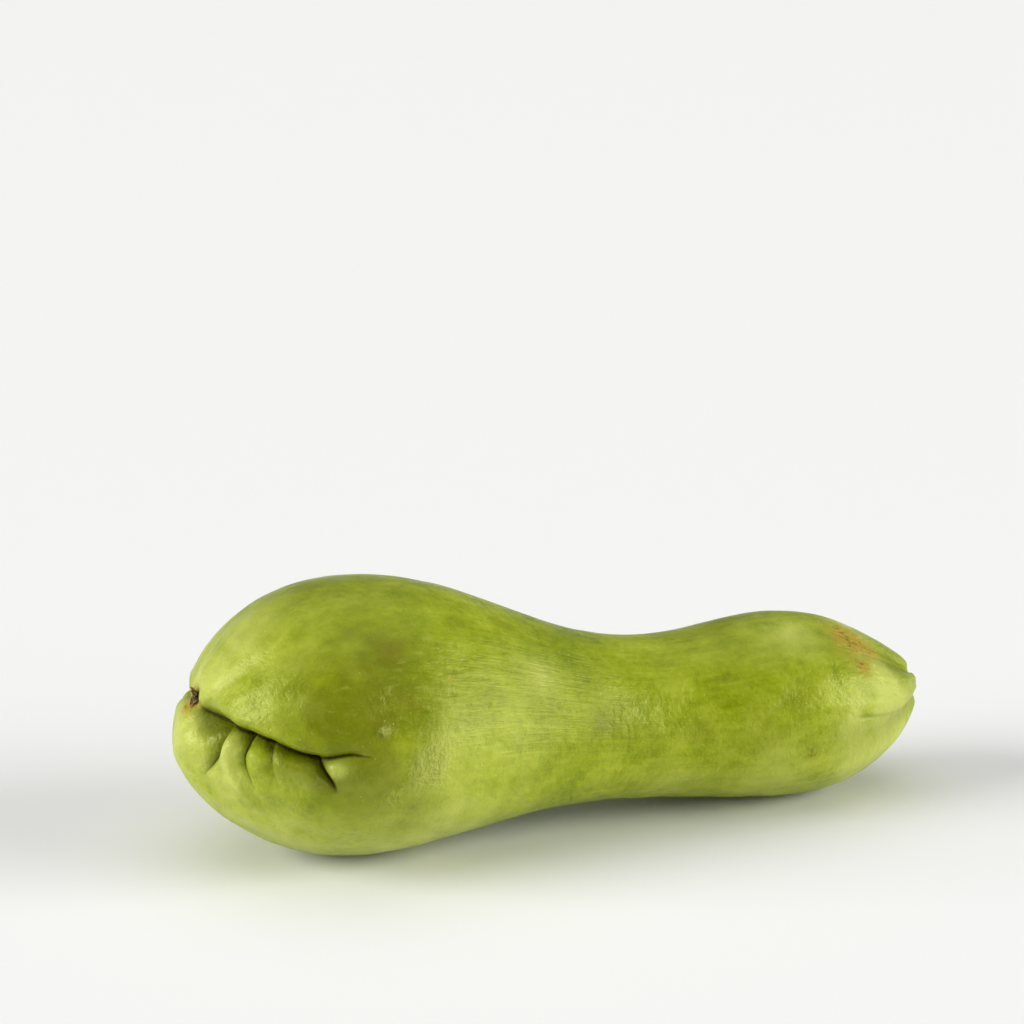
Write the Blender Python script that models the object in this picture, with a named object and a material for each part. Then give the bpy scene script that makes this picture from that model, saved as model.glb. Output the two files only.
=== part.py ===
import math

import bmesh
import bpy
import numpy as np
from mathutils import Matrix, Vector

# A long chayote as picked, lying on its side. Metres, +Z up.
# Blossom end (wide, with the mouth crease) at -X, stem end (narrow) at +X.
MM = 0.001
FRUIT_LENGTH = 186 * MM

# Stations along the fruit, from -1 at the blossom end to 1 at the stem end.
# A section's half height is its fullness times the half circle sqrt(1 - station^2).
STATIONS = (-1.0, -0.75, -0.45, -0.1, 0.2, 0.5, 0.8, 1.0)
FULLNESS_MM = (39.4, 43.3, 35.8, 24.0, 19.8, 25.4, 31.6, 28.0)
CENTRE_HEIGHT_MM = (28.9, 32.3, 32.2, 28.0, 23.7, 22.8, 21.7, 24.1)
WIDTH_OVER_HEIGHT = 1.09      # sections are a little wider than high
WIDTH_TAPER = 0.04            # more so at the blossom end than at the stem end

# Five shallow furrows run end to end, by their angle up from the -Y side.
FURROW_ANGLES_DEG = (-8, 58, 122, 185, 262)
FURROW_HALF_ANGLE = math.radians(19)
FURROW_FADE = 0.35            # furrows fade out where a section is this much of the widest
FURROW_DEPTH_MIDDLE = 0.1 * MM
FURROW_DEPTH_BLOSSOM = 1.1 * MM
FURROW_DEPTH_STEM = 1.4 * MM

# Mouth crease: from the scar down the -Y side, and a short one on the +Y side.
MOUTH_ROUTE_MM = ((-91, -3, 40), (-86, -16, 38.8), (-80, -24, 37), (-73, -30, 34.2), (-68, -32.5, 32.6))
BACK_MOUTH_ROUTE_MM = ((-91, 3, 40), (-86, 15, 37), (-81, 23, 34))
MOUTH_HALF_WIDTH = 6.5 * MM
MOUTH_DEPTH = 2.4 * MM
BACK_MOUTH_DEPTH = 1.5 * MM

SCAR_CENTRE_MM = (-89.8, -0.2, 41.1)
SCAR_PIT_RADIUS = 4.5 * MM
SCAR_PIT_DEPTH = 1.6 * MM
STEM_PIT_RADIUS = 4.6 * MM
STEM_PIT_DEPTH = 3.2 * MM

# The belly is pressed flat by this much where it rests.
REST_FLAT = 0.6 * MM

# The stalk has snapped off close to the fruit.
STEM_LENGTH = 3.2 * MM
STEM_RADIUS = 1.8 * MM
STEM_RISE = 0.3 * MM
STEM_BASE_FLARE = 1.25
STEM_POINTS = 5
STEM_RAYS = 12                # tries round the foot, to find the skin under it

REMNANT_LENGTH = 4.8 * MM
REMNANT_WIDTH = 3.0 * MM
REMNANT_THICKNESS = 2.2 * MM

TOUCH_GAP = 0.3 * MM
SIDES_AROUND = 64
RINGS_ALONG = 46
STEM_POLE = Vector((1, 0, 0))


def clearScene():
    for old in list(bpy.data.objects):
        bpy.data.objects.remove(old, do_unlink=True)


def makeCollection(name):
    group = bpy.data.collections.new(name)
    bpy.context.scene.collection.children.link(group)
    return group


def makeMaterial(name, colour, roughness, metallic=0.0):
    material = bpy.data.materials.new(name)
    material.use_nodes = True
    shader = material.node_tree.nodes["Principled BSDF"]
    shader.inputs["Base Color"].default_value = (*colour, 1.0)
    shader.inputs["Roughness"].default_value = roughness
    shader.inputs["Metallic"].default_value = metallic
    material.diffuse_color = (*colour, 1.0)
    return material


def smoothThrough(stations, values):
    # one smooth polynomial through every station
    return np.polynomial.Polynomial.fit(stations, values, len(stations) - 1)


fullness = smoothThrough(STATIONS, FULLNESS_MM)
centreHeight = smoothThrough(STATIONS, CENTRE_HEIGHT_MM)


def skinPoint(unit):
    # unit: a point of the unit sphere whose poles are at -X and +X
    station = max(-1.0, min(1.0, unit.x))
    halfHeight = fullness(station) * MM
    halfWidth = halfHeight * (WIDTH_OVER_HEIGHT - WIDTH_TAPER * station)
    return Vector((
        station * FRUIT_LENGTH / 2,
        unit.y * halfWidth,
        centreHeight(station) * MM + unit.z * halfHeight,
    ))


def furrowDepth(unit):
    # fades to nothing at the poles and is shallowest over the waist
    angle = math.atan2(unit.z, -unit.y)
    ends = math.sqrt(max(0.0, 1 - unit.x ** 2))
    fade = min(1.0, ends / FURROW_FADE)
    endDepth = FURROW_DEPTH_BLOSSOM if unit.x < 0 else FURROW_DEPTH_STEM
    depth = FURROW_DEPTH_MIDDLE + (endDepth - FURROW_DEPTH_MIDDLE) * abs(unit.x) ** 3
    total = 0.0
    for degrees in FURROW_ANGLES_DEG:
        away = math.remainder(angle - math.radians(degrees), 2 * math.pi)
        total += math.exp(-((away / FURROW_HALF_ANGLE) ** 2))
    return depth * fade * total


def distanceToRoute(point, route):
    nearest = 1.0
    for start, end in zip(route, route[1:]):
        run = end - start
        part = max(0.0, min(1.0, (point - start).dot(run) / run.length_squared))
        nearest = min(nearest, (point - start - run * part).length)
    return nearest


def valley(distance, halfWidth, depth):
    return depth * math.exp(-((distance / halfWidth) ** 2) * 2)


def creaseDepth(point):
    mouth = [Vector(stop) * MM for stop in MOUTH_ROUTE_MM]
    back = [Vector(stop) * MM for stop in BACK_MOUTH_ROUTE_MM]
    depth = valley(distanceToRoute(point, mouth), MOUTH_HALF_WIDTH, MOUTH_DEPTH)
    depth += valley(distanceToRoute(point, back), MOUTH_HALF_WIDTH, BACK_MOUTH_DEPTH)
    scar = (point - Vector(SCAR_CENTRE_MM) * MM).length
    depth += valley(scar, SCAR_PIT_RADIUS, SCAR_PIT_DEPTH)
    stem = (point - skinPoint(STEM_POLE)).length
    depth += STEM_PIT_DEPTH * math.exp(-((stem / STEM_PIT_RADIUS) ** 4))
    return depth


def buildFruit(group, material):
    mesh = bpy.data.meshes.new("fruit")
    bm = bmesh.new()
    bmesh.ops.create_uvsphere(bm, u_segments=SIDES_AROUND, v_segments=RINGS_ALONG, radius=1.0)
    bmesh.ops.rotate(bm, verts=bm.verts, cent=(0, 0, 0), matrix=Matrix.Rotation(math.pi / 2, 3, "Y"))
    units = [vert.co.normalized() for vert in bm.verts]
    for vert, unit in zip(bm.verts, units):
        vert.co = skinPoint(unit)
    bm.normal_update()
    pressed = [
        vert.co - vert.normal * (furrowDepth(unit) + creaseDepth(vert.co))
        for vert, unit in zip(bm.verts, units)
    ]
    floor = min(point.z for point in pressed) + REST_FLAT
    for vert, point in zip(bm.verts, pressed):
        vert.co = Vector((point.x, point.y, max(point.z, floor)))
    bm.to_mesh(mesh)
    bm.free()
    mesh.materials.append(material)
    mesh.shade_smooth()
    fruit = bpy.data.objects.new("fruit", mesh)
    group.objects.link(fruit)
    return fruit


def skinUnderStem(fruit):
    # the highest skin, along X, under the foot of the stalk
    pole = skinPoint(STEM_POLE)
    foot = STEM_RADIUS * STEM_BASE_FLARE
    reach = 0.0
    for step in range(STEM_RAYS):
        angle = step * math.tau / STEM_RAYS
        start = pole + Vector((foot, foot * math.cos(angle), foot * math.sin(angle)))
        _, spot, _, _ = fruit.ray_cast(start, Vector((-1, 0, 0)))
        reach = max(reach, spot.x)
    return Vector((reach, pole.y, pole.z))


def buildStemStub(group, material, fruit):
    # what is left of the fruit stalk, springing from the pit at the stem end
    start = skinUnderStem(fruit) + Vector((TOUCH_GAP, 0, 0))
    curve = bpy.data.curves.new("stem_stub", "CURVE")
    curve.dimensions = "3D"
    curve.bevel_depth = STEM_RADIUS
    curve.bevel_resolution = 3
    curve.use_fill_caps = True
    spline = curve.splines.new("POLY")
    spline.points.add(STEM_POINTS - 1)
    for number, stop in enumerate(spline.points):
        part = number / (STEM_POINTS - 1)
        stop.co = (start.x + STEM_LENGTH * part, 0, start.z + STEM_RISE * part ** 2, 1)
        stop.radius = 1 + (STEM_BASE_FLARE - 1) * (1 - part) ** 3
    curve.materials.append(material)
    stem = bpy.data.objects.new("stem_stub", curve)
    group.objects.link(stem)
    return stem


def buildBlossomRemnant(group, material, fruit):
    # the dried foot of the flower, upright in the scar pit
    _, spot, outward, _ = fruit.closest_point_on_mesh(Vector(SCAR_CENTRE_MM) * MM)
    mesh = bpy.data.meshes.new("blossom_remnant")
    bm = bmesh.new()
    bmesh.ops.create_uvsphere(bm, u_segments=14, v_segments=10, radius=0.5)
    size = Matrix.Diagonal((REMNANT_THICKNESS, REMNANT_WIDTH, REMNANT_LENGTH))
    bmesh.ops.transform(bm, verts=bm.verts, matrix=size.to_4x4())
    bm.to_mesh(mesh)
    bm.free()
    mesh.materials.append(material)
    mesh.shade_smooth()
    remnant = bpy.data.objects.new("blossom_remnant", mesh)
    remnant.rotation_euler = (-outward).to_track_quat("X", "Z").to_euler()
    remnant.location = spot + outward * (REMNANT_THICKNESS / 2 + TOUCH_GAP)
    group.objects.link(remnant)
    return remnant


def worldCorners(pieces):
    bpy.context.view_layer.update()
    corners = [piece.matrix_world @ Vector(corner) for piece in pieces for corner in piece.bound_box]
    low = Vector(min(corner[axis] for corner in corners) for axis in range(3))
    high = Vector(max(corner[axis] for corner in corners) for axis in range(3))
    return low, high


def standOnOrigin(pieces):
    # the origin goes under the middle of the whole piece, at the height that it rests on
    low, high = worldCorners(pieces)
    middle = (low + high) / 2
    for piece in pieces:
        piece.location -= Vector((middle.x, middle.y, low.z))


def main():
    clearScene()
    group = makeCollection("chayote")
    skin = makeMaterial("fruit_skin", (0.36, 0.45, 0.07), 0.42)
    stalk = makeMaterial("stem_bark", (0.27, 0.25, 0.07), 0.75)
    dried = makeMaterial("dried_blossom", (0.16, 0.08, 0.025), 0.85)
    fruit = buildFruit(group, skin)
    stem = buildStemStub(group, stalk, fruit)
    remnant = buildBlossomRemnant(group, dried, fruit)
    standOnOrigin([fruit, stem, remnant])


main()
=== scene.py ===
import math

import bmesh
import bpy
import numpy as np
from mathutils import Matrix, Vector, noise


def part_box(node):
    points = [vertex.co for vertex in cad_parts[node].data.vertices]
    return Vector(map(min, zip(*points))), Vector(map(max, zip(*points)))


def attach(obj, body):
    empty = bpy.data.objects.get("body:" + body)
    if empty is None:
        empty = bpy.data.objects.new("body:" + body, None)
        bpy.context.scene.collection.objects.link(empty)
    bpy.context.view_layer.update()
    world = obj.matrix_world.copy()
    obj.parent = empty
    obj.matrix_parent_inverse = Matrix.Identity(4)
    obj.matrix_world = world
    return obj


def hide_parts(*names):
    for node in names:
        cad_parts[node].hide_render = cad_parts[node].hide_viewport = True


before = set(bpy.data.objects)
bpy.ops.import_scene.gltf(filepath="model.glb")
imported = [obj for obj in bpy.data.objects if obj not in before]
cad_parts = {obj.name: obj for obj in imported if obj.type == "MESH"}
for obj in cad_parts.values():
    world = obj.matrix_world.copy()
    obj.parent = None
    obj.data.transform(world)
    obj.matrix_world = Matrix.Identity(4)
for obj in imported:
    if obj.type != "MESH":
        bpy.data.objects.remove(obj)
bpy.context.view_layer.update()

mm = 0.001
print("frame loaded:", ", ".join(sorted(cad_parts)))

# lengths in this dictionary are in millimetres
fruitShape = {
    "length": 186,
    "stations": (-1.0, -0.75, -0.45, -0.1, 0.2, 0.5, 0.8, 1.0),  # -1 blossom end, 1 stem end
    "fullness": (39.4, 43.3, 35.8, 24.0, 19.8, 25.4, 31.6, 28.0),
    "centreHeight": (28.9, 32.3, 32.2, 28.0, 23.7, 22.8, 21.7, 24.1),
    "widthOverHeight": 1.09,
    "widthTaper": 0.04,
    "facesAround": 304,
    "facesAlong": 212,
    "finerInFront": 0.42,       # 0 spreads the faces evenly round the fruit
    "finestAngle": 15,          # they are finest this many degrees above the -Y side
    "finerAtBlossom": 0.3,      # 0 spreads them evenly along it
    "splitReach": (2.8, 0.8),   # faces this close to a fold are split in four, then again
    "splitStep": 0.7,           # spacing of the places on a fold that this is measured from
    "foldStep": 0.25,           # the same for the depth of a fold
    "foldReach": 2.2,           # folds are worked out to this many times their width
    "lipRounding": 0.04,
    "furrowAngles": (-8, 58, 122, 185, 262),
    "furrowHalfAngle": 17,
    "furrowFade": 0.35,         # furrows fade out where a section is this much of the widest
    "furrowMiddle": 0.1,
    "furrowBlossom": 0.8,
    "furrowStem": 1.9,
    "stemPitRadius": 4.6,
    "stemPitDepth": 3.2,
    "restFlat": 0.6,            # the belly is pressed flat by this much where it rests
    "lumps": ((46, 0.75), (19, 0.3), (8.5, 0.2), (4.2, 0.06)),  # size and height of the uneven growth
    "tintEdges": ((9, 0.9), (3.5, 0.5)),                        # the same for the edges of the tints
    "hollowDepth": 3,           # a place this deep gets the full painted shade of a hollow
}

# each stop of a route is x, y, z and how strong the fold is there
# widths are those of its left and right slopes, seen from outside looking along the route
# line is the half width of the painted shade line along the bottom
fruitFolds = {
    "mouth": {
        "route": ((-91.5, -1.5, 41.2, 0.15), (-89.5, -5.8, 40.1, 0.6), (-87.3, -12.7, 39.7, 0.95),
                  (-83.7, -19.3, 38.7, 1.0), (-79.4, -24.7, 37.4, 1.0), (-73.6, -29.7, 35.1, 1.0),
                  (-69.8, -32.0, 34.1, 0.9), (-68.2, -32.7, 33.5, 0.5)),
        "depth": 5.0, "widths": (3.6, 8.5), "endWidths": (3.6, 4.8), "form": "lips", "line": 0.62,
    },
    "forkUp": {
        "route": ((-68.8, -32.5, 33.6, 0.5), (-66.9, -33.2, 34.2, 0.9), (-65.1, -33.9, 34.7, 0.8),
                  (-62.2, -34.7, 35.2, 0.65), (-59.8, -35.3, 35.0, 0.45), (-56.5, -35.9, 34.5, 0.0)),
        "depth": 2.6, "widths": (3.4, 2.8), "form": "lips", "line": 0.42,
    },
    "forkDown": {
        "route": ((-68.9, -32.4, 33.6, 0.6), (-67.5, -33.1, 31.3, 1.0), (-65.9, -33.4, 28.7, 0.8),
                  (-64.4, -33.5, 26.0, 0.0)),
        "depth": 3.0, "widths": (2.4, 4.2), "form": "lips", "line": 0.5,
    },
    "lobeCrease": {
        "route": ((-86.6, -14.0, 38.9, 0.6), (-86.4, -15.6, 36.8, 1.0), (-87.1, -15.8, 34.4, 1.0),
                  (-88.0, -14.9, 31.4, 0.9), (-89.1, -13.1, 28.3, 0.5), (-89.8, -11.1, 25.5, 0.0)),
        "depth": 3.2, "widths": (2.6, 6.0), "form": "lips", "line": 0.34,
    },
    "lobeRidge": {
        "route": ((-84.3, -18.9, 37.4, 0.7), (-84.9, -18.6, 35.6, 1.0), (-85.4, -18.3, 33.6, 1.0),
                  (-85.3, -18.6, 30.0, 0.8), (-84.4, -19.2, 26.6, 0.8), (-82.2, -20.8, 22.6, 0.6),
                  (-79.5, -22.5, 18.5, 0.0)),
        "depth": -1.3, "widths": (2.5, 2.8), "form": "valley",
    },
    "secondCrease": {
        "route": ((-82.2, -21.4, 37.9, 0.9), (-82.5, -21.9, 35.2, 1.0), (-83.0, -21.8, 32.2, 0.7),
                  (-82.4, -22.2, 28.4, 0.3), (-80.6, -23.4, 24.0, 0.0)),
        "depth": 2.2, "widths": (2.8, 2.6), "form": "lips", "line": 0.3,
    },
    "thirdCrease": {
        "route": ((-78.4, -25.7, 36.6, 1.0), (-77.9, -26.6, 33.4, 0.8), (-77.2, -27.0, 29.4, 0.3),
                  (-76.5, -27.2, 26.0, 0.0)),
        "depth": 1.6, "widths": (3.0, 3.0), "form": "lips", "line": 0.2,
    },
    "backMouth": {
        "route": ((-91.4, 2.0, 40.8, 0.3), (-88.6, 9.5, 39.6, 1.0), (-84.0, 18.5, 37.6, 0.9),
                  (-79.0, 25.0, 35.4, 0.6), (-73.0, 30.0, 33.0, 0.0)),
        "depth": 4.0, "widths": (5.4, 3.6), "form": "lips", "line": 0.6,
    },
    "backCrease": {
        "route": ((-87.4, 12.6, 38.8, 0.7), (-88.0, 13.2, 34.0, 0.9), (-88.6, 13.0, 30.0, 0.4),
                  (-88.4, 13.6, 25.0, 0.0)),
        "depth": 2.2, "widths": (4.2, 2.8), "form": "lips", "line": 0.35,
    },
    "stemFold": {
        "route": ((67.5, -22.4, 24.6, 0.0), (70.5, -21.4, 24.2, 0.8), (74.0, -20.2, 23.4, 1.0),
                  (77.5, -18.4, 22.6, 0.8), (82.0, -15.2, 21.8, 0.4), (86.0, -11.0, 21.6, 0.0)),
        "depth": 0.8, "widths": (1.6, 3.2), "form": "lips", "line": 0.0,
    },
    "blossomCollar": {
        "route": ((-50.0, 6.0, 64.5, 0.1), (-50.5, -12.0, 62.5, 0.5), (-50.0, -25.0, 55.5, 1.0),
                  (-49.5, -32.5, 46.5, 1.0), (-51.0, -36.0, 38.0, 0.4), (-51.0, -36.0, 30.0, 0.3),
                  (-50.0, -32.5, 18.0, 0.7), (-49.0, -26.0, 11.0, 0.2)),
        "depth": 1.0, "widths": (9.0, 11.0), "form": "valley",
    },
}

# swellings and dents: centre, radius and rise
fruitSwellings = {
    "leftLobe": ((-92.2, -4.8, 32.6), 6.5, 1.2),
    "hollowFace": ((-88.6, -11.4, 37.2), 4.6, -2.4),
    "secondLobe": ((-80.4, -24.4, 32.4), 3.4, 0.9),
    "thirdLobe": ((-74.4, -29.3, 31.6), 3.8, 0.9),
    "fourthLobe": ((-70.2, -31.8, 28.8), 3.6, 0.8),
    "wedge": ((-64.9, -34.0, 32.2), 2.6, 1.2),
    "upperLip": ((-80.0, -22.0, 42.5), 9.0, 0.8),
    "frontBulge": ((-41.0, -35.0, 34.0), 10.0, 0.9),
    "backDent": ((-30.0, 30.0, 44.0), 12.0, -0.8),
    "scarPit": ((-89.8, -0.2, 41.1), 3.0, -2.2),
    "smallDent": ((4.0, -21.2, 32.6), 2.6, -0.35),
    "waistDent": ((27.8, -21.0, 24.8), 2.8, -0.35),
    "stemDent": ((52.7, -22.2, 31.0), 3.2, -0.3),
}

# ribs and wrinkles that follow the length of the fruit
fruitGrain = {
    "ribsPerTurn": 2.6, "ribHeight": 0.6,           # soft ribs that gather at both ends
    "fineRibsPerTurn": 7, "fineRibHeight": 0.34,
    "ribDrift": 0.8,                                # how much the ribs change along the fruit
    "ribsFrom": 0.35, "ribsOver": 0.5,              # from the middle, as a share of half the length
    "poleFade": 0.06,                               # the ribs fade out this close to the poles
    "wrinkleSize": 1.8, "wrinkleLength": 13, "wrinkleHeight": 0.11,
    "bend": 0.5, "bendSize": 7,                     # how far the wrinkles wander, and how often
    "wrinkleZones": (((-38, -30, 46), 14, 0.8), ((-16, -25, 43), 15, 1.0), ((2, -20, 40), 12, 0.5),
                     ((-43, -36, 31), 5, 0.9), ((-20, 22, 42), 16, 0.8), ((76, -12, 36), 12, 0.4)),
}

# tinted zones: centre, radius and strength
fruitTints = {
    # olive skin in patches, with painted shade in the hollow under the lip, beside the lobe creases and
    # in the small dents
    "oliveSkinAndShade": (((-58, -31, 45), 15, 0.75), ((-68, -32, 40), 9, 0.5), ((-57, -36, 30), 9, 0.65),
              ((-49, -31, 18), 7, 0.4), ((-76, -28, 33), 4, 0.5), ((-69.5, -32, 30), 4, 0.5),
              ((-51, -24, 56), 9, 0.4), ((-88.4, -11.8, 38), 3.6, 1.0),
              ((-62, 30, 42), 14, 0.5), ((20, 18, 30), 12, 0.4), ((4, -21, 31), 4, 0.6),
              ((28, -21, 26), 4, 0.6), ((15, -20, 30), 6, 0.3), ((44, -23, 25), 6, 0.3),
              ((53, -22, 31), 5, 0.35), ((84, -9, 30), 4, 0.5), ((-60, 0, 64), 20, 0.3),
              ((40, 2, 40), 16, 0.3)),
    # paler skin, with painted light: bounce light on the belly and highlights on the left lobe, the
    # ridge, the wedge, the upper left and the facets at the stem end
    "paleSkinAndLight": (((-24, -30, 33), 14, 0.35), ((-43, -36, 30), 5, 0.5), ((-82, -2, 52), 13, 0.95),
             ((-92, -5, 33), 7, 0.8), ((-85, -18.5, 34), 3, 1.2), ((-84, -19.5, 27), 3, 0.9),
             ((-86, -12, 22), 9, 0.8), ((-74, -20, 8), 14, 0.7), ((-40, -22, 7), 18, 0.8),
             ((79, -16, 28.5), 4.5, 1.4), ((69, -21.7, 21.3), 5.5, 1.2), ((79, -16, 18), 11, 1.6),
             ((77, -10, 36), 5, 0.9), ((74, 0, 40), 6, 0.6), ((70, -16, 8), 8, 0.9),
             ((58, -8, 43), 9, 0.65), ((48, -20, 9), 9, 0.7), ((22, -18, 7), 9, 0.5),
             ((74, 8, 30), 12, 0.4), ((-30, 28, 30), 14, 0.5), ((-11, -21, 43), 5, 0.5),
             ((-65, -34, 32), 2.2, 0.6)),
    "crinkled": (((-43.5, -35.5, 31), 4.2, 2.0), ((-54, -35.2, 40), 1.1, 1.6),
                 ((-52, -35.5, 24), 2.5, 0.5), ((-30, 30, 30), 4, 0.8)),
    "russet": (((-49, -25, 56), 3.2, 0.7), ((-47, -33, 46), 3.2, 0.6), ((-55, -35, 41), 2.6, 0.5),
               ((-56, -28, 53), 2.8, 0.5), ((-67, -33, 29), 2.5, 0.5), ((55.6, -23.2, 17.1), 1.8, 1.0),
               ((60, 16, 32), 4, 0.6), ((-70, 24, 50), 4, 0.6)),
    "cork": (((69, -7, 41.5), 4, 0.75), ((74, -8, 39.4), 4.5, 0.95), ((79, -8, 36), 3.5, 0.7),
             ((68, -14.5, 38), 3, 0.45), ((72.5, -15.5, 34.5), 2.6, 0.8),
             ((87.6, -10.3, 21.7), 1.8, 0.8), ((-90.2, 0.2, 40.2), 3.2, 1.3),
             ((-36, -29, 48.5), 1.2, 0.7), ((90, 0, 24), 4.2, 1.0), ((72, 12, 34), 4, 0.6)),
}
noiseStep = Vector((7.3, 2.1, 5.7))     # a shift in the noise, so that no two uses of it agree


def smoothThrough(stations, values):
    # one smooth polynomial through every station
    return np.polynomial.Polynomial.fit(stations, values, len(stations) - 1)


def getPoints(mesh):
    flat = np.empty(len(mesh.vertices) * 3, dtype=np.float32)
    mesh.vertices.foreach_get("co", flat)
    return flat.reshape(-1, 3).astype(float)


def setPoints(mesh, points):
    mesh.vertices.foreach_set("co", points.astype(np.float32).ravel())
    mesh.update()


def getNormals(mesh):
    flat = np.empty(len(mesh.vertices) * 3, dtype=np.float32)
    mesh.vertex_normals.foreach_get("vector", flat)
    return flat.reshape(-1, 3).astype(float)


def setAttribute(mesh, name, values):
    kind, key = ("FLOAT_VECTOR", "vector") if values.ndim == 2 else ("FLOAT", "value")
    layer = mesh.attributes.new(name, kind, "POINT")
    layer.data.foreach_set(key, values.astype(np.float32).ravel())


def splitNearFolds(bm, shape):
    # smaller faces along the folds that have a painted shade line
    stops = np.concatenate([smoothRoute(fold["route"], shape["splitStep"])[:, :3]
                            for fold in fruitFolds.values() if fold.get("line")])
    for reach in shape["splitReach"]:
        bm.verts.index_update()
        points = bodyPoints(shape, np.array([vert.co for vert in bm.verts]))
        gap = np.full(len(points), np.inf)
        for stop in stops:
            gap = np.minimum(gap, np.linalg.norm(points - stop, axis=1))
        for face in bm.faces:
            face.tag = bool(min(gap[vert.index] for vert in face.verts) < reach)
        edges = [edge for edge in bm.edges if any(face.tag for face in edge.link_faces)]
        bmesh.ops.subdivide_edges(bm, edges=edges, cuts=1, use_grid_fill=True)
        for vert in bm.verts:
            vert.co.normalize()


def unitSphere(mesh, shape):
    # a sphere with its poles at -X and +X, finer towards -Y, towards -X and along the folds
    bm = bmesh.new()
    bmesh.ops.create_uvsphere(bm, u_segments=shape["facesAround"], v_segments=shape["facesAlong"],
                              radius=1)
    bmesh.ops.rotate(bm, verts=bm.verts, cent=(0, 0, 0), matrix=Matrix.Rotation(math.pi / 2, 3, "Y"))
    unit = np.array([vert.co for vert in bm.verts])
    polar = np.arccos(np.clip(-unit[:, 0], -1, 1))
    polar = polar - shape["finerAtBlossom"] * np.sin(polar)
    turn = np.arctan2(unit[:, 2], -unit[:, 1])
    turn = turn - shape["finerInFront"] * np.sin(turn - math.radians(shape["finestAngle"]))
    ring = np.sin(polar)
    unit = np.stack((-np.cos(polar), -np.cos(turn) * ring, np.sin(turn) * ring), axis=1)
    for vert, place in zip(bm.verts, unit):
        vert.co = place
    splitNearFolds(bm, shape)
    bm.to_mesh(mesh)
    bm.free()
    unit = getPoints(mesh)
    return unit / np.linalg.norm(unit, axis=1)[:, None]


def bodyPoints(shape, unit):
    # the plain body, without furrows or folds
    station = unit[:, 0]
    halfHeight = smoothThrough(shape["stations"], shape["fullness"])(station)
    halfWidth = halfHeight * (shape["widthOverHeight"] - shape["widthTaper"] * station)
    centre = smoothThrough(shape["stations"], shape["centreHeight"])(station)
    return np.stack((
        station * shape["length"] / 2,
        unit[:, 1] * halfWidth,
        centre + unit[:, 2] * halfHeight,
    ), axis=1)


def furrowDepth(shape, unit, turn):
    station = unit[:, 0]
    ring = np.sqrt(np.clip(1 - station ** 2, 0, 1))
    fade = np.minimum(1, ring / shape["furrowFade"])
    endDepth = np.where(station < 0, shape["furrowBlossom"], shape["furrowStem"])
    depth = shape["furrowMiddle"] + (endDepth - shape["furrowMiddle"]) * np.abs(station) ** 3
    total = np.zeros(len(unit))
    for degrees in shape["furrowAngles"]:
        away = (turn - math.radians(degrees) + math.pi) % math.tau - math.pi
        total += np.exp(-((away / math.radians(shape["furrowHalfAngle"])) ** 2))
    return depth * fade * total


def smoothRoute(stops, step):
    # a curve through the stops, as places about one step apart
    stops = np.array(stops, dtype=float)
    before, after = 2 * stops[:1] - stops[1:2], 2 * stops[-1:] - stops[-2:-1]
    chain = np.concatenate((before, stops, after))
    samples = []
    for number in range(1, len(chain) - 2):
        a, b, c, d = chain[number - 1:number + 3]
        count = max(2, int(np.linalg.norm(c[:3] - b[:3]) / step))
        t = np.linspace(0, 1, count, endpoint=False)[:, None]
        samples.append(0.5 * (2 * b + (c - a) * t + (2 * a - 5 * b + 4 * c - d) * t ** 2
                              + (3 * b - a - 3 * c + d) * t ** 3))
    samples.append(stops[-1:])
    return np.concatenate(samples)


def foldShape(points, outward, fold):
    # how deep each point lies in the fold, and how close it is to its painted shade line
    route = smoothRoute(fold["route"], fruitShape["foldStep"])
    heading = np.gradient(route[:, :3], axis=0)
    heading /= np.linalg.norm(heading, axis=1)[:, None]
    progress = np.linspace(0, 1, len(route))
    widths = fold["widths"]
    endWidths = fold.get("endWidths", widths)
    reach = fruitShape["foldReach"] * max(widths + endWidths)
    low, high = route[:, :3].min(axis=0) - reach, route[:, :3].max(axis=0) + reach
    near = np.nonzero(np.all((points > low) & (points < high), axis=1))[0]
    gap = np.linalg.norm(points[near, None, :] - route[None, :, :3], axis=2)
    closest = gap.argmin(axis=1)
    away = gap[np.arange(len(near)), closest] + 1e-6
    leftward = np.cross(outward[near], heading[closest])
    side = np.einsum("ij,ij->i", points[near] - route[closest, :3], leftward) / away
    left = np.interp(progress[closest], (0, 1), (widths[0], endWidths[0]))
    right = np.interp(progress[closest], (0, 1), (widths[1], endWidths[1]))
    apart = away / (right + (left - right) * (0.5 + 0.5 * np.clip(side, -1, 1)))
    strength = np.clip(route[closest, 3], 0, 1)
    if fold["form"] == "lips":      # two round lips that meet at a line
        section = (1 - np.clip(np.hypot(apart, fruitShape["lipRounding"]), 0, 1)) ** 3
    else:                           # an open, rounded valley
        section = np.exp(-2 * apart ** 2)
    depth, line = np.zeros(len(points)), np.zeros(len(points))
    depth[near] = fold["depth"] * strength * section
    if fold.get("line"):
        line[near] = np.sqrt(strength) * np.exp(-(away / fold["line"]) ** 2)
    return depth, line


def noiseAt(places, number):
    shift = noiseStep * number
    return np.array([noise.noise(Vector(place) + shift) for place in places])


def growthLumps(points, lumps, first=0):
    return sum(rise * noiseAt(points / size, number) for number, (size, rise) in enumerate(lumps, first))


def nearness(points, centre, radius):
    return np.exp(-(np.linalg.norm(points - np.array(centre), axis=1) / radius) ** 2)


def zoneAmount(points, zones):
    return sum(strength * nearness(points, centre, radius) for centre, radius, strength in zones)


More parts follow.
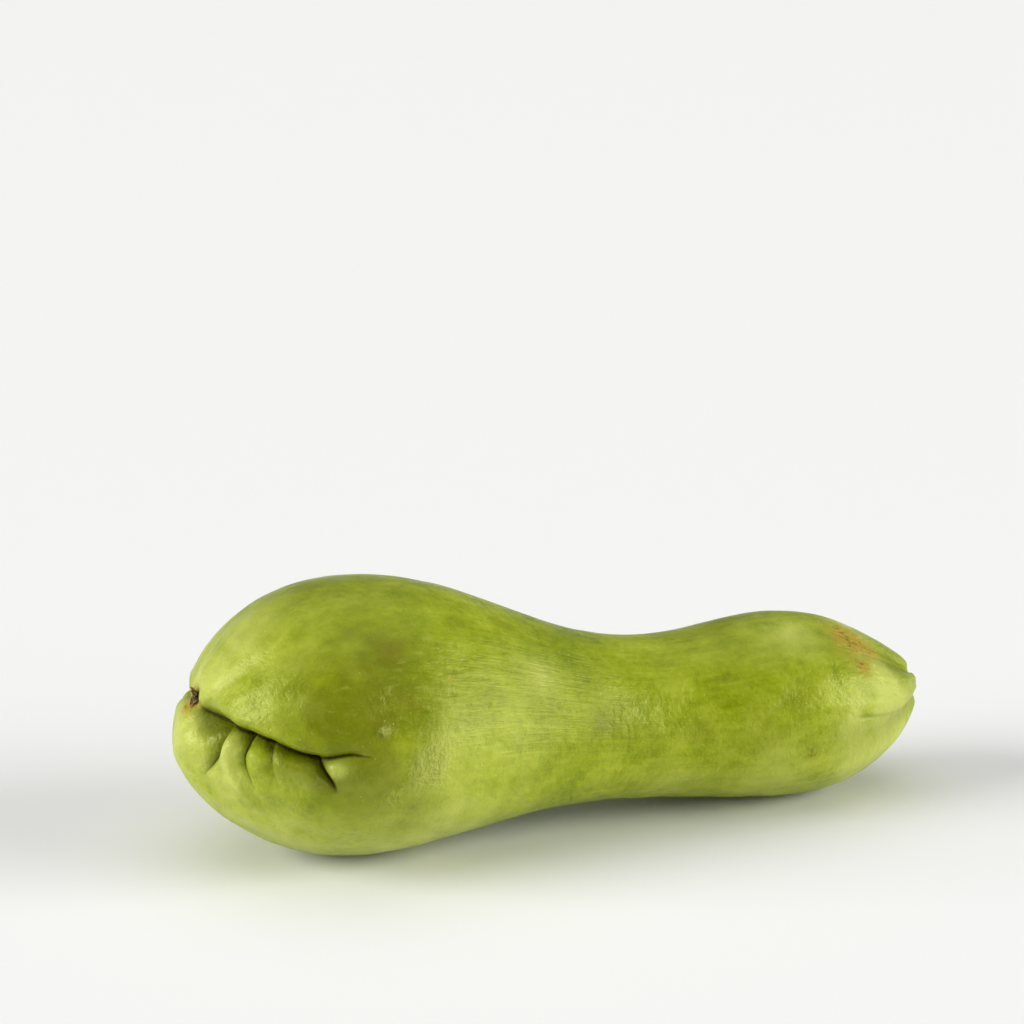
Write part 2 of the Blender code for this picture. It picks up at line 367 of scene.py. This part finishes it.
def skinGrain(points, unit, turn):
    # ribs gather towards both ends, wrinkles lie over a few zones
    grain = fruitGrain
    circle = np.stack((np.zeros(len(turn)), np.cos(turn), np.sin(turn)), axis=1)
    drift = unit * (grain["ribDrift"], 0, 0)
    station = np.abs(unit[:, 0])
    gathered = np.clip((station - grain["ribsFrom"]) / grain["ribsOver"], 0, 1) ** 2
    gathered *= np.clip((1 - station) / grain["poleFade"], 0, 1)
    ribs = grain["ribHeight"] * noiseAt(circle * grain["ribsPerTurn"] + drift, 3)
    ribs += grain["fineRibHeight"] * noiseAt(circle * grain["fineRibsPerTurn"] + drift, 4)
    stretch = (grain["wrinkleLength"], grain["wrinkleSize"], grain["wrinkleSize"])
    bent = points + grain["bend"] * noiseAt(points / grain["bendSize"], 8)[:, None]
    wrinkles = 1 - 2 * np.abs(noiseAt(bent / stretch, 5))
    zone = np.clip(zoneAmount(points, grain["wrinkleZones"]), 0, 1)
    return ribs * gathered + grain["wrinkleHeight"] * wrinkles * zone, zone


def makeFruit():
    shape = fruitShape
    mesh = bpy.data.meshes.new("chayoteFruit")
    unit = unitSphere(mesh, shape)
    turn = np.arctan2(unit[:, 2], -unit[:, 1])
    points = bodyPoints(shape, unit)
    setPoints(mesh, points)
    outward = getNormals(mesh)
    furrow = furrowDepth(shape, unit, turn)
    grain, wrinkled = skinGrain(points, unit, turn)
    lumps = growthLumps(points, shape["lumps"]) + grain
    folded = np.zeros(len(points))
    slitShade = np.zeros(len(points))
    for fold in fruitFolds.values():
        depth, line = foldShape(points, outward, fold)
        folded += depth
        slitShade = np.maximum(slitShade, line)
    for centre, radius, rise in fruitSwellings.values():
        folded -= rise * nearness(points, centre, radius)
    stemPole = np.array((shape["length"] / 2, 0, shape["centreHeight"][-1]))
    stemAway = np.linalg.norm(points - stemPole, axis=1)
    pit = shape["stemPitDepth"] * np.exp(-(stemAway / shape["stemPitRadius"]) ** 4)
    shaped = points + outward * (lumps - furrow - folded - pit)[:, None]
    floor = shaped[:, 2].min() + shape["restFlat"]
    shaped[:, 2] = np.maximum(shaped[:, 2], floor)
    # blossom end, middle and belly line up with the solid
    low, high = (np.array(corner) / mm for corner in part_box("fruit"))
    shift = np.array((low[0] - shaped[:, 0].min(), 0, low[2] - floor))
    shift[1] = (low[1] + high[1] - shaped[:, 1].min() - shaped[:, 1].max()) / 2
    setPoints(mesh, (shaped + shift) * mm)
    setAttribute(mesh, "grain", unit)
    # depth below the plain surface, for painted shade in hollows and painted light on raised places
    paintedShadeDepth = (folded + furrow + pit - lumps / 2) / shape["hollowDepth"]
    setAttribute(mesh, "paintedShadeDepth", np.clip(paintedShadeDepth, -1, 1))
    # nearness to the bottom of a fold, for a painted shade line along it
    setAttribute(mesh, "slitShade", slitShade)
    setAttribute(mesh, "wrinkled", wrinkled)
    wander = 1 + growthLumps(points, shape["tintEdges"], 5)
    for name, zones in fruitTints.items():
        setAttribute(mesh, name, np.clip(zoneAmount(points, zones) * wander, 0, 1))
    mesh.shade_smooth()
    fruit = bpy.data.objects.new("chayoteFruit", mesh)
    bpy.context.collection.objects.link(fruit)
    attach(fruit, "root")
    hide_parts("fruit")
    print("fruit: %d faces, moved by %s mm" % (len(mesh.polygons), np.round(shift, 2)))
    return fruit, shift


def newMaterial(name):
    material = bpy.data.materials.new(name)
    material.use_nodes = True
    tree = material.node_tree
    return material, tree, tree.nodes["Principled BSDF"]


def addNode(tree, kind, **sockets):
    # a socket is set to a number or linked to another node's output
    node = tree.nodes.new(kind)
    for key, value in sockets.items():
        socket = node.inputs[key.replace("_", " ")]
        if isinstance(value, bpy.types.NodeSocket):
            tree.links.new(value, socket)
        else:
            socket.default_value = value
    return node


def addRamp(tree, factor, stops):
    node = addNode(tree, "ShaderNodeValToRGB", Fac=factor)
    ramp = node.color_ramp
    while len(ramp.elements) < len(stops):
        ramp.elements.new(0.5)
    for element, (place, colour) in zip(ramp.elements, stops):
        element.position = place
        element.color = (*colour, 1) if isinstance(colour, tuple) else (colour, colour, colour, 1)
    return node.outputs["Color"]


def addMix(tree, factor, first, second):
    # sockets 6 and 7 are the two colours, output 2 is the mixed one
    node = tree.nodes.new("ShaderNodeMix")
    node.data_type = "RGBA"
    for socket, value in ((node.inputs[0], factor), (node.inputs[6], first), (node.inputs[7], second)):
        if isinstance(value, bpy.types.NodeSocket):
            tree.links.new(value, socket)
        else:
            socket.default_value = (*value, 1)
    return node.outputs[2]


def addMath(tree, operation, first, second, clamp=False):
    node = tree.nodes.new("ShaderNodeMath")
    node.operation = operation
    node.use_clamp = clamp
    for socket, value in zip(node.inputs, (first, second)):
        if isinstance(value, bpy.types.NodeSocket):
            tree.links.new(value, socket)
        else:
            socket.default_value = value
    return node.outputs[0]


def attributeOf(tree, name, output="Fac"):
    node = addNode(tree, "ShaderNodeAttribute")
    node.attribute_name = name
    return node.outputs[output]


def addNoise(tree, place, scale, detail, roughness):
    node = addNode(tree, "ShaderNodeTexNoise", Vector=place, Scale=scale, Detail=detail,
                   Roughness=roughness)
    return node.outputs["Fac"]


def weighted(tree, *parts):
    # the sum of the values, each times its weight
    total = None
    for value, weight in parts:
        scaled = addMath(tree, "MULTIPLY", value, weight)
        total = scaled if total is None else addMath(tree, "ADD", total, scaled)
    return total


def addStretch(tree, place, scale):
    return addNode(tree, "ShaderNodeMapping", Vector=place, Scale=scale).outputs["Vector"]


def addGrainNoise(tree, grain, along, across, detail, roughness):
    # noise drawn out along the fruit
    return addNoise(tree, addStretch(tree, grain, (along, across, across)), 1, detail, roughness)


def addSpots(tree, place, scale, size):
    # round spots, one near the middle of each cell
    cells = addNode(tree, "ShaderNodeTexVoronoi", Vector=place, Scale=scale)
    return addRamp(tree, cells.outputs["Distance"], ((size * 0.5, 1.0), (size, 0.0)))


def tinted(tree, colour, amount, low, high, strength, tint):
    # lays a tint over the colour where the amount passes from low to high
    return addMix(tree, addRamp(tree, amount, ((low, 0.0), (high, strength))), colour, tint)


# tints: where each starts and where it is full, its strength and its colour
# noises: scale, detail and roughness; those along the fruit have a scale along and one across
# pale skin colour, also used as painted light
paleSkinAndLightColour = (0.49, 0.54, 0.1)
# olive skin colour, also used as painted shade
oliveSkinAndShadeColour = (0.13, 0.15, 0.0005)
skinLook = {
    "greens": ((0.39, (0.17, 0.225, 0.002)), (0.5, (0.27, 0.335, 0.005)), (0.61, (0.4, 0.465, 0.024))),
    "patches": (30, 3, 0.5),
    "mottle": (160, 4, 0.6),
    "freckle": (620, 3, 0.6),
    "streaks": (3.2, 15, 5, 0.6),
    "hairlines": (7, 34, 4, 0.6),
    "corkBands": (5, 24, 5, 0.7),
    "corkBits": (12, 40, 3, 0.7),
    "crinkles": (480, 4, 0.7),
    "poreScale": 430, "poreSize": 0.16,
    # olive skin, with painted shade in hollows, creases and dents
    "oliveSkinAndShade": (0.38, 1.2, 0.75, oliveSkinAndShadeColour),
    # paler skin, with painted light on the belly, ridges and ends
    "paleSkinAndLight": (0.2, 1.0, 0.85, paleSkinAndLightColour),
    # painted shade in hollows
    "paintedShadeDepth": (0.16, 0.85, 0.8, oliveSkinAndShadeColour),
    # painted light on raised places
    "paintedRaisedLight": (0.04, 0.4, 0.4, paleSkinAndLightColour),
    "line": (0.62, 0.85, 0.3, paleSkinAndLightColour),
    "pore": (0.35, 0.7, 0.4, (0.55, 0.57, 0.16)),
    "russet": (0.05, 0.7, 0.75, (0.16, 0.15, 0.002)),
    "cork": (0.04, 0.75, 0.85, (0.44, 0.3, 0.026)),
    "corkFleck": (0.76, 0.84, 0.8, (0.09, 0.055, 0.002)),
    "crinkled": (0.1, 0.9, 0.7, paleSkinAndLightColour),
    # painted shade along the bottom of the folds
    "slitShade": (0.15, 0.75, 1.0, (0.02, 0.018, 0.001)),
    "roughness": 0.355,
    "specular": 0.44,
    "glossTint": (1.0, 1.0, 0.42, 1.0),
    "glow": 0.08, "glowColour": (0.8, 1.0, 0.1), "glowDepth": 0.0015,      # light inside the skin
}


def makeSkinMaterial():
    look = skinLook
    material, tree, shader = newMaterial("chayoteSkin")
    place = addNode(tree, "ShaderNodeTexCoord").outputs["Object"]
    grain = attributeOf(tree, "grain", "Vector")
    paintedShadeDepth = attributeOf(tree, "paintedShadeDepth")
    slitShade = attributeOf(tree, "slitShade")
    wrinkled = attributeOf(tree, "wrinkled")
    patches = addNoise(tree, place, *look["patches"])
    mottle = addNoise(tree, place, *look["mottle"])
    freckle = addNoise(tree, place, *look["freckle"])
    streaks = addGrainNoise(tree, grain, *look["streaks"])
    hairlines = addGrainNoise(tree, grain, *look["hairlines"])

    tone = weighted(tree, (patches, 0.32), (streaks, 0.18), (mottle, 0.3), (freckle, 0.2))
    colour = addRamp(tree, tone, look["greens"])
    # olive skin, with painted shade in hollows, creases and dents
    shade = weighted(tree, (attributeOf(tree, "oliveSkinAndShade"), 0.85), (mottle, 0.5), (freckle, 0.2))
    colour = tinted(tree, colour, shade, *look["oliveSkinAndShade"])
    # paler skin, with painted light on the belly, ridges and ends
    paleSkinAndLight = weighted(tree, (attributeOf(tree, "paleSkinAndLight"), 0.8), (mottle, 0.4))
    colour = tinted(tree, colour, paleSkinAndLight, *look["paleSkinAndLight"])
    # painted shade in hollows, painted light on raised places
    colour = tinted(tree, colour, paintedShadeDepth, *look["paintedShadeDepth"])
    paintedRaisedLight = addMath(tree, "MULTIPLY", paintedShadeDepth, -1)
    colour = tinted(tree, colour, paintedRaisedLight, *look["paintedRaisedLight"])

    # fine pale lines along the wrinkles, and the pores of the skin
    lines = weighted(tree, (hairlines, 1.0), (wrinkled, 0.2))
    colour = tinted(tree, colour, lines, *look["line"])
    spots = addSpots(tree, place, look["poreScale"], look["poreSize"])
    pores = addMath(tree, "MULTIPLY", spots, freckle)
    colour = tinted(tree, colour, pores, *look["pore"])

    # brown-olive stains with broken edges
    broken = addRamp(tree, weighted(tree, (mottle, 0.5), (freckle, 0.5)), ((0.43, 0.1), (0.56, 1.0)))
    stain = addMath(tree, "MULTIPLY", attributeOf(tree, "russet"), broken)
    colour = tinted(tree, colour, stain, *look["russet"])

    # corky skin: bands at the edges, solid in the middle, with dark flecks
    corky = attributeOf(tree, "cork")
    bands = weighted(tree, (addGrainNoise(tree, grain, *look["corkBands"]), 0.7), (freckle, 0.3))
    banded = addMath(tree, "MULTIPLY", corky, addRamp(tree, bands, ((0.4, 0.0), (0.56, 1.0))))
    solid = addRamp(tree, corky, ((0.6, 0.0), (1.0, 0.7)))
    cork = weighted(tree, (banded, 1.0), (solid, 1.0))
    colour = tinted(tree, colour, cork, *look["cork"])
    flecks = weighted(tree, (corky, 0.22), (addGrainNoise(tree, grain, *look["corkBits"]), 1.0))
    colour = tinted(tree, colour, flecks, *look["corkFleck"])

    # papery skin, and the painted shade lines in the folds
    crinkled = attributeOf(tree, "crinkled")
    crinkles = addNoise(tree, addStretch(tree, place, (1.5, 1, 1)), *look["crinkles"])
    flaked = addMath(tree, "MULTIPLY", crinkled, addRamp(tree, crinkles, ((0.4, 0.2), (0.6, 1.0))))
    colour = tinted(tree, colour, flaked, *look["crinkled"])
    colour = tinted(tree, colour, slitShade, *look["slitShade"])
    tree.links.new(colour, shader.inputs["Base Color"])

    rough = weighted(tree, (mottle, 0.3), (slitShade, 0.4), (corky, 0.15), (wrinkled, 0.06))
    rough = addMath(tree, "ADD", rough, look["roughness"] - 0.15, clamp=True)   # mottle averages 0.5
    tree.links.new(rough, shader.inputs["Roughness"])

    # heights in metres
    fold = addMath(tree, "MULTIPLY", hairlines, addMath(tree, "ADD", wrinkled, 0.12))
    ruffled = addMath(tree, "MULTIPLY", crinkles, addMath(tree, "ADD", crinkled, 0.06))
    height = weighted(tree, (mottle, 0.0006), (fold, 0.0005), (freckle, 0.00026), (pores, -0.00012),
                      (cork, 0.0002), (ruffled, 0.0016))
    bump = addNode(tree, "ShaderNodeBump", Height=height, Strength=1.0, Distance=1.0)
    tree.links.new(bump.outputs["Normal"], shader.inputs["Normal"])
    shader.inputs["Subsurface Weight"].default_value = look["glow"]
    shader.inputs["Subsurface Radius"].default_value = look["glowColour"]
    shader.inputs["Subsurface Scale"].default_value = look["glowDepth"]
    shader.inputs["Specular IOR Level"].default_value = look["specular"]
    shader.inputs["Specular Tint"].default_value = look["glossTint"]
    return material


# lengths in millimetres
stemStub = {
    "footRadius": 2.25, "waistRadius": 1.7, "tipRadius": 1.95,
    "sunk": 1.2,                                    # how far the foot goes under the skin
    "ribs": 5, "ribHeight": 0.16,
    "unevenHeight": 0.09, "unevenScale": 3.1,       # how much the ribs differ
    "barkHeight": 0.1, "barkScale": 2.4, "barkDrift": 1.5,
    "fineBarkHeight": 0.05, "fineBarkScale": 9,
    "barkShare": 0.9,                               # the rest of the length is torn fibres
    "fibreHeight": 0.16, "fibreScales": (2.4, 0.9), "fibreEdge": 6,
    "facesAround": 60, "facesAlong": 34, "tipRings": 14,
}


def makeStemStub():
    # a ribbed stalk with a rough broken tip
    stub = stemStub
    low, high = (np.array(corner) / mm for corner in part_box("stem_stub"))
    length = high[0] - low[0] + stub["sunk"]
    middle = (low + high) / 2
    around, rings = stub["facesAround"], stub["facesAlong"]
    turns = np.linspace(0, math.tau, around, endpoint=False)
    circle = np.stack((np.zeros(around), np.cos(turns), np.sin(turns)), axis=1)
    ribs = stub["ribHeight"] * np.cos(turns * stub["ribs"])
    ribs += stub["unevenHeight"] * noiseAt(circle * stub["unevenScale"], 1)
    points = []
    for number in range(rings + 1):
        part = number / rings
        radius = stub["waistRadius"] + (stub["footRadius"] - stub["waistRadius"]) * (1 - part) ** 3
        radius += (stub["tipRadius"] - stub["waistRadius"]) * part ** 6
        bark = circle * stub["barkScale"] + (part * stub["barkDrift"], 0, 0)
        rough = stub["barkHeight"] * noiseAt(bark, 2)
        rough += stub["fineBarkHeight"] * noiseAt(circle * stub["fineBarkScale"], 3)
        spread = (radius + ribs + rough)[:, None]
        reach = low[0] - stub["sunk"] + length * part * stub["barkShare"]
        points.append(circle * spread + (reach, middle[1], middle[2]))
    edge = points[-1]
    fine, coarse = stub["fibreScales"]
    for number in range(1, stub["tipRings"] + 1):      # torn fibres across the broken end
        part = number / stub["tipRings"]
        ring = edge + (np.array((0, middle[1], middle[2])) - edge) * (0, part, part)
        fibres = (noiseAt(ring * (0, fine, fine), 4) + noiseAt(ring * (0, coarse, coarse), 5)) / 2
        rise = stub["fibreHeight"] * length * (fibres + 0.5) * min(1, part * stub["fibreEdge"])
        points.append(ring + np.stack((rise, rise * 0, rise * 0), axis=1))
    cloud = np.concatenate(points)
    cloud[:, 0] = np.minimum(cloud[:, 0], high[0])
    faces = []
    for ring in range(len(points) - 1):
        for step in range(around):
            here, after = ring * around + step, ring * around + (step + 1) % around
            faces.append((here, after, after + around, here + around))
    faces.append(tuple(reversed(range(around))))
    mesh = bpy.data.meshes.new("stemStub")
    mesh.from_pydata((cloud * mm).tolist(), [], faces)
    bm = bmesh.new()
    bm.from_mesh(mesh)
    bmesh.ops.remove_doubles(bm, verts=bm.verts, dist=0.01 * mm)      # closes the tip to one point
    bmesh.ops.recalc_face_normals(bm, faces=bm.faces)
    bm.to_mesh(mesh)
    bm.free()
    mesh.shade_smooth()
    piece = bpy.data.objects.new("stemStub", mesh)
    bpy.context.collection.objects.link(piece)
    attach(piece, "root")
    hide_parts("stem_stub")
    print("stem stub: %d faces" % len(mesh.polygons))
    return piece


# tints and noises as for the skin
stemLook = {
    "bark": ((0.38, (0.2, 0.22, 0.03)), (0.56, (0.24, 0.16, 0.05))),
    "blotches": (620, 3, 0.5),
    "fibres": (2600, 4, 0.65),
    "dark": (0.52, 0.7, 0.8, (0.08, 0.055, 0.02)),
    "torn": (0.55, 0.9, 0.9, (0.5, 0.42, 0.2)),
    "tornFrom": 0.0011, "tornTo": 0.0004,       # metres back from the tip
    "roughness": 0.72,
    "bump": 0.0003,
    "specular": 0.25,
}


def makeStemMaterial():
    look = stemLook
    material, tree, shader = newMaterial("stemBark")
    place = addNode(tree, "ShaderNodeTexCoord").outputs["Object"]
    fibres = addNoise(tree, addStretch(tree, place, (0.25, 1, 1)), *look["fibres"])
    colour = addRamp(tree, addNoise(tree, place, *look["blotches"]), look["bark"])
    colour = tinted(tree, colour, fibres, *look["dark"])
    along = addNode(tree, "ShaderNodeSeparateXYZ", Vector=place).outputs["X"]
    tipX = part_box("stem_stub")[1][0]
    nearTip = addNode(tree, "ShaderNodeMapRange", Value=along, From_Min=tipX - look["tornFrom"],
                      From_Max=tipX - look["tornTo"]).outputs["Result"]
    torn = weighted(tree, (nearTip, 0.7), (fibres, 0.6))
    colour = tinted(tree, colour, torn, *look["torn"])
    tree.links.new(colour, shader.inputs["Base Color"])
    rough = addMath(tree, "ADD", addMath(tree, "MULTIPLY", fibres, 0.3), look["roughness"] - 0.15)
    tree.links.new(rough, shader.inputs["Roughness"])
    bump = addNode(tree, "ShaderNodeBump", Height=fibres, Strength=1.0, Distance=look["bump"])
    tree.links.new(bump.outputs["Normal"], shader.inputs["Normal"])
    shader.inputs["Specular IOR Level"].default_value = look["specular"]
    return material


# lengths in millimetres, angles in degrees
driedBlossom = {
    "core": (0.9, 1.0, 1.9),
    "coreCrumple": 0.24, "coreCrumpleScale": 5,
    "coreLumps": 0.35, "coreLumpScale": 9,
    "coreBend": 0.3, "coreBendScale": 7,
    # each dried petal: where it starts, which way it grows, length, width and curl
    "petals": (((-0.2, 0.1, 0.5), 82, 2.8, 1.3, 75), ((0.0, -0.3, 0.4), 122, 2.0, 1.1, -85),
               ((-0.2, 0.2, -0.4), -70, 2.9, 1.3, -80), ((0.0, -0.3, -0.5), -118, 2.4, 1.1, 90),
               ((0.1, 0.1, 0.1), 25, 1.6, 1.2, 110), ((0.1, -0.1, 0.0), 200, 1.5, 1.0, -110)),
    "thickness": 0.16,
    "stalkShare": 0.18, "roundness": 0.7, "leastHalfWidth": 0.04,    # outline of a petal
    "cup": 0.35,                        # hollow across, as a share of half the width
    "crumple": 0.22, "crumpleScale": 1.6,
    "seed": 3,                          # picks one set of crumples, the same on every run
    "lift": 0.5, "swing": 0.6,          # how far a curl goes outwards and sideways
    "facesAlong": 14, "facesAcross": 6,
    "mostStretch": 1.3,                 # no direction is stretched this much beyond the average
    "pressedIn": 0.15,                  # into the scar
}


def addPetal(bm, start, heading, length, width, curl):
    # a narrow leaf in the plane of the scar, which curls out of it and crumples
    look = driedBlossom
    edgeForPaintedLight = bm.verts.layers.float["edgeForPaintedLight"]
    along, across = look["facesAlong"], look["facesAcross"]
    turn = math.radians(heading)
    grows = Vector((0, math.cos(turn), math.sin(turn)))
    side = Vector((0, -math.sin(turn), math.cos(turn)))
    spot, angle = Vector(start), 0.0
    rows = []
    for number in range(along + 1):
        part = number / along
        outline = math.sin(math.pi * (look["stalkShare"] + (1 - look["stalkShare"]) * part))
        halfWidth = width / 2 * max(0, outline) ** look["roundness"] + look["leastHalfWidth"]
        row = []
        for step in range(across + 1):
            off = step / across * 2 - 1
            place = spot + side * off * halfWidth
            place.x -= look["cup"] * halfWidth * (1 - off ** 2)
            crumple = noise.noise_vector(place * look["crumpleScale"] + Vector((heading, 0, 0)))
            place += look["crumple"] * crumple
            row.append(bm.verts.new(place))
            # nearness to the petal edge, for a painted highlight there
            row[-1][edgeForPaintedLight] = max(abs(off) ** 3, part ** 4)
        rows.append(row)
        angle += math.radians(curl) / along
        move = grows * math.cos(angle) + side * math.sin(angle) * look["swing"]
        move.x -= abs(math.sin(angle)) * look["lift"]
        spot = spot + move * (length / along)
    for low, high in zip(rows, rows[1:]):
        for step in range(across):
            bm.faces.new((low[step], low[step + 1], high[step + 1], high[step]))


def makeDriedBlossom():
    # local X points into the fruit, so the petals spread over the scar
    look = driedBlossom
    low, high = (np.array(corner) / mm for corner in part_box("blossom_remnant"))
    noise.seed_set(look["seed"])
    bm = bmesh.new()
    bm.verts.layers.float.new("edgeForPaintedLight")
    for petal in look["petals"]:
        addPetal(bm, *petal)
    bm.normal_update()            # the thickness goes along the normals
    bmesh.ops.solidify(bm, geom=list(bm.faces), thickness=look["thickness"])
    core = bmesh.ops.create_icosphere(bm, subdivisions=4, radius=0.5)["verts"]
    for vert in core:
        place = vert.co.copy()
        vert.co = Vector(place[axis] * look["core"][axis] for axis in range(3))
        vert.co += look["coreCrumple"] * noise.noise_vector(place * look["coreCrumpleScale"])
        vert.co += place * (look["coreLumps"] * noise.noise(place * look["coreLumpScale"]))
        vert.co.y += look["coreBend"] * math.sin(place.z * look["coreBendScale"])
    mesh = bpy.data.meshes.new("driedBlossom")
    bmesh.ops.recalc_face_normals(bm, faces=bm.faces)
    bm.to_mesh(mesh)
    bm.free()
    points = getPoints(mesh)
    least, most = points.min(axis=0), points.max(axis=0)
    scale = (high - low) / (most - least)
    scale = np.minimum(scale, scale.mean() * look["mostStretch"])
    points = (points - (least + most) / 2) * scale + (low + high) / 2
    points[:, 0] += look["pressedIn"]
    setPoints(mesh, points * mm)
    mesh.shade_smooth()
    piece = bpy.data.objects.new("driedBlossom", mesh)
    bpy.context.collection.objects.link(piece)
    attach(piece, "root")
    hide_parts("blossom_remnant")
    print("dried blossom: %d faces" % len(mesh.polygons))
    return piece


# tints and noises as for the skin
blossomLook = {
    "browns": ((0.4, (0.03, 0.016, 0.004)), (0.6, (0.11, 0.055, 0.012))),
    "creases": (1500, 4, 0.65),
    "veins": (4200, 3, 0.6),
    # the tan of the dry petals, lighter at the edges as a painted highlight
    "dryTanAndEdgeLight": (0.47, 0.62, 0.85, (0.42, 0.29, 0.1)),
    "roughness": 0.8,
    "bump": 0.0004,
    "specular": 0.25,
}


def makeBlossomMaterial():
    look = blossomLook
    material, tree, shader = newMaterial("driedBlossom")
    place = addNode(tree, "ShaderNodeTexCoord").outputs["Object"]
    creases = addNoise(tree, place, *look["creases"])
    veins = addNoise(tree, addStretch(tree, place, (1, 1, 0.3)), *look["veins"])
    colour = addRamp(tree, creases, look["browns"])
    # the tan of the dry petals, lighter at the edges as a painted highlight
    dryTanAndEdgeLight = weighted(tree, (creases, 0.5), (veins, 0.4), (attributeOf(tree, "edgeForPaintedLight"), 0.16))
    colour = tinted(tree, colour, dryTanAndEdgeLight, *look["dryTanAndEdgeLight"])
    tree.links.new(colour, shader.inputs["Base Color"])
    rough = addMath(tree, "ADD", addMath(tree, "MULTIPLY", veins, 0.25), look["roughness"] - 0.12)
    tree.links.new(rough, shader.inputs["Roughness"])
    height = weighted(tree, (creases, 0.6), (veins, 0.4))
    bump = addNode(tree, "ShaderNodeBump", Height=height, Strength=1.0, Distance=look["bump"])
    tree.links.new(bump.outputs["Normal"], shader.inputs["Normal"])
    shader.inputs["Specular IOR Level"].default_value = look["specular"]
    return material


# lengths in metres
tableTop = {
    "size": 20, "gap": 0.0002,          # the gap keeps it clear of the belly
    "colour": (0.9, 0.9, 0.89, 1), "roughness": 0.7, "specular": 0.2,
}


def makeFloor():
    top = tableTop
    mesh = bpy.data.meshes.new("tableTop")
    bm = bmesh.new()
    bmesh.ops.create_grid(bm, x_segments=1, y_segments=1, size=top["size"])
    bm.to_mesh(mesh)
    bm.free()
    floor = bpy.data.objects.new("tableTop", mesh)
    floor.location.z = -top["gap"]
    bpy.context.collection.objects.link(floor)
    material, _, shader = newMaterial("paleTable")
    shader.inputs["Base Color"].default_value = top["colour"]
    shader.inputs["Roughness"].default_value = top["roughness"]
    shader.inputs["Specular IOR Level"].default_value = top["specular"]
    mesh.materials.append(material)


# wide soft suns: where each one stands, its strength and its width in degrees
lights = {
    "leftLight": {"place": (-1.0, 0.1, 0.42), "strength": 2.8, "width": 38},
    "rightLight": {"place": (0.87, -0.5, 0.3), "strength": 2.7, "width": 38},
    "topLight": {"place": (0.0, 0.2, 1.0), "strength": 0.8, "width": 70},
}
roomLight = 0.2


def aimAt(thing, target):
    thing.rotation_euler = (Vector(target) - thing.location).to_track_quat("-Z", "Y").to_euler()


def makeLights():
    for name, values in lights.items():
        lamp = bpy.data.lights.new(name, "SUN")
        lamp.energy = values["strength"]
        lamp.angle = math.radians(values["width"])
        light = bpy.data.objects.new(name, lamp)
        light.location = values["place"]
        bpy.context.collection.objects.link(light)
        aimAt(light, (0, 0, 0))
    world = bpy.data.worlds.new("whiteRoom")
    world.use_nodes = True
    room = world.node_tree.nodes["Background"]
    room.inputs["Color"].default_value = (1, 1, 1, 1)
    room.inputs["Strength"].default_value = roomLight
    bpy.context.scene.world = world


# angles in degrees, seen from the fruit; distance in metres, the rest in millimetres
cameraSet = {
    "azimuth": -19.19, "elevation": 16.28, "distance": 0.8,
    "lens": 121, "sensor": 36, "target": (-11.65, 0, 77.3),
}


def makeCamera(shift):
    data = bpy.data.cameras.new("camera")
    data.lens = cameraSet["lens"]
    data.sensor_width = cameraSet["sensor"]
    camera = bpy.data.objects.new("camera", data)
    azimuth, elevation = math.radians(cameraSet["azimuth"]), math.radians(cameraSet["elevation"])
    target = Vector(np.array(cameraSet["target"]) + shift) * mm
    level = math.cos(elevation)
    back = Vector((math.sin(azimuth) * level, -math.cos(azimuth) * level, math.sin(elevation)))
    camera.location = target + back * cameraSet["distance"]
    bpy.context.collection.objects.link(camera)
    aimAt(camera, target)
    bpy.context.scene.camera = camera


fruit, shift = makeFruit()
fruit.data.materials.append(makeSkinMaterial())
makeStemStub().data.materials.append(makeStemMaterial())
makeDriedBlossom().data.materials.append(makeBlossomMaterial())
print("materials: skin, stem bark, dried blossom")
makeFloor()
makeLights()
makeCamera(shift)
print("table top, %d lights and camera placed" % len(lights))
bpy.context.scene.view_settings.view_transform = "Standard"
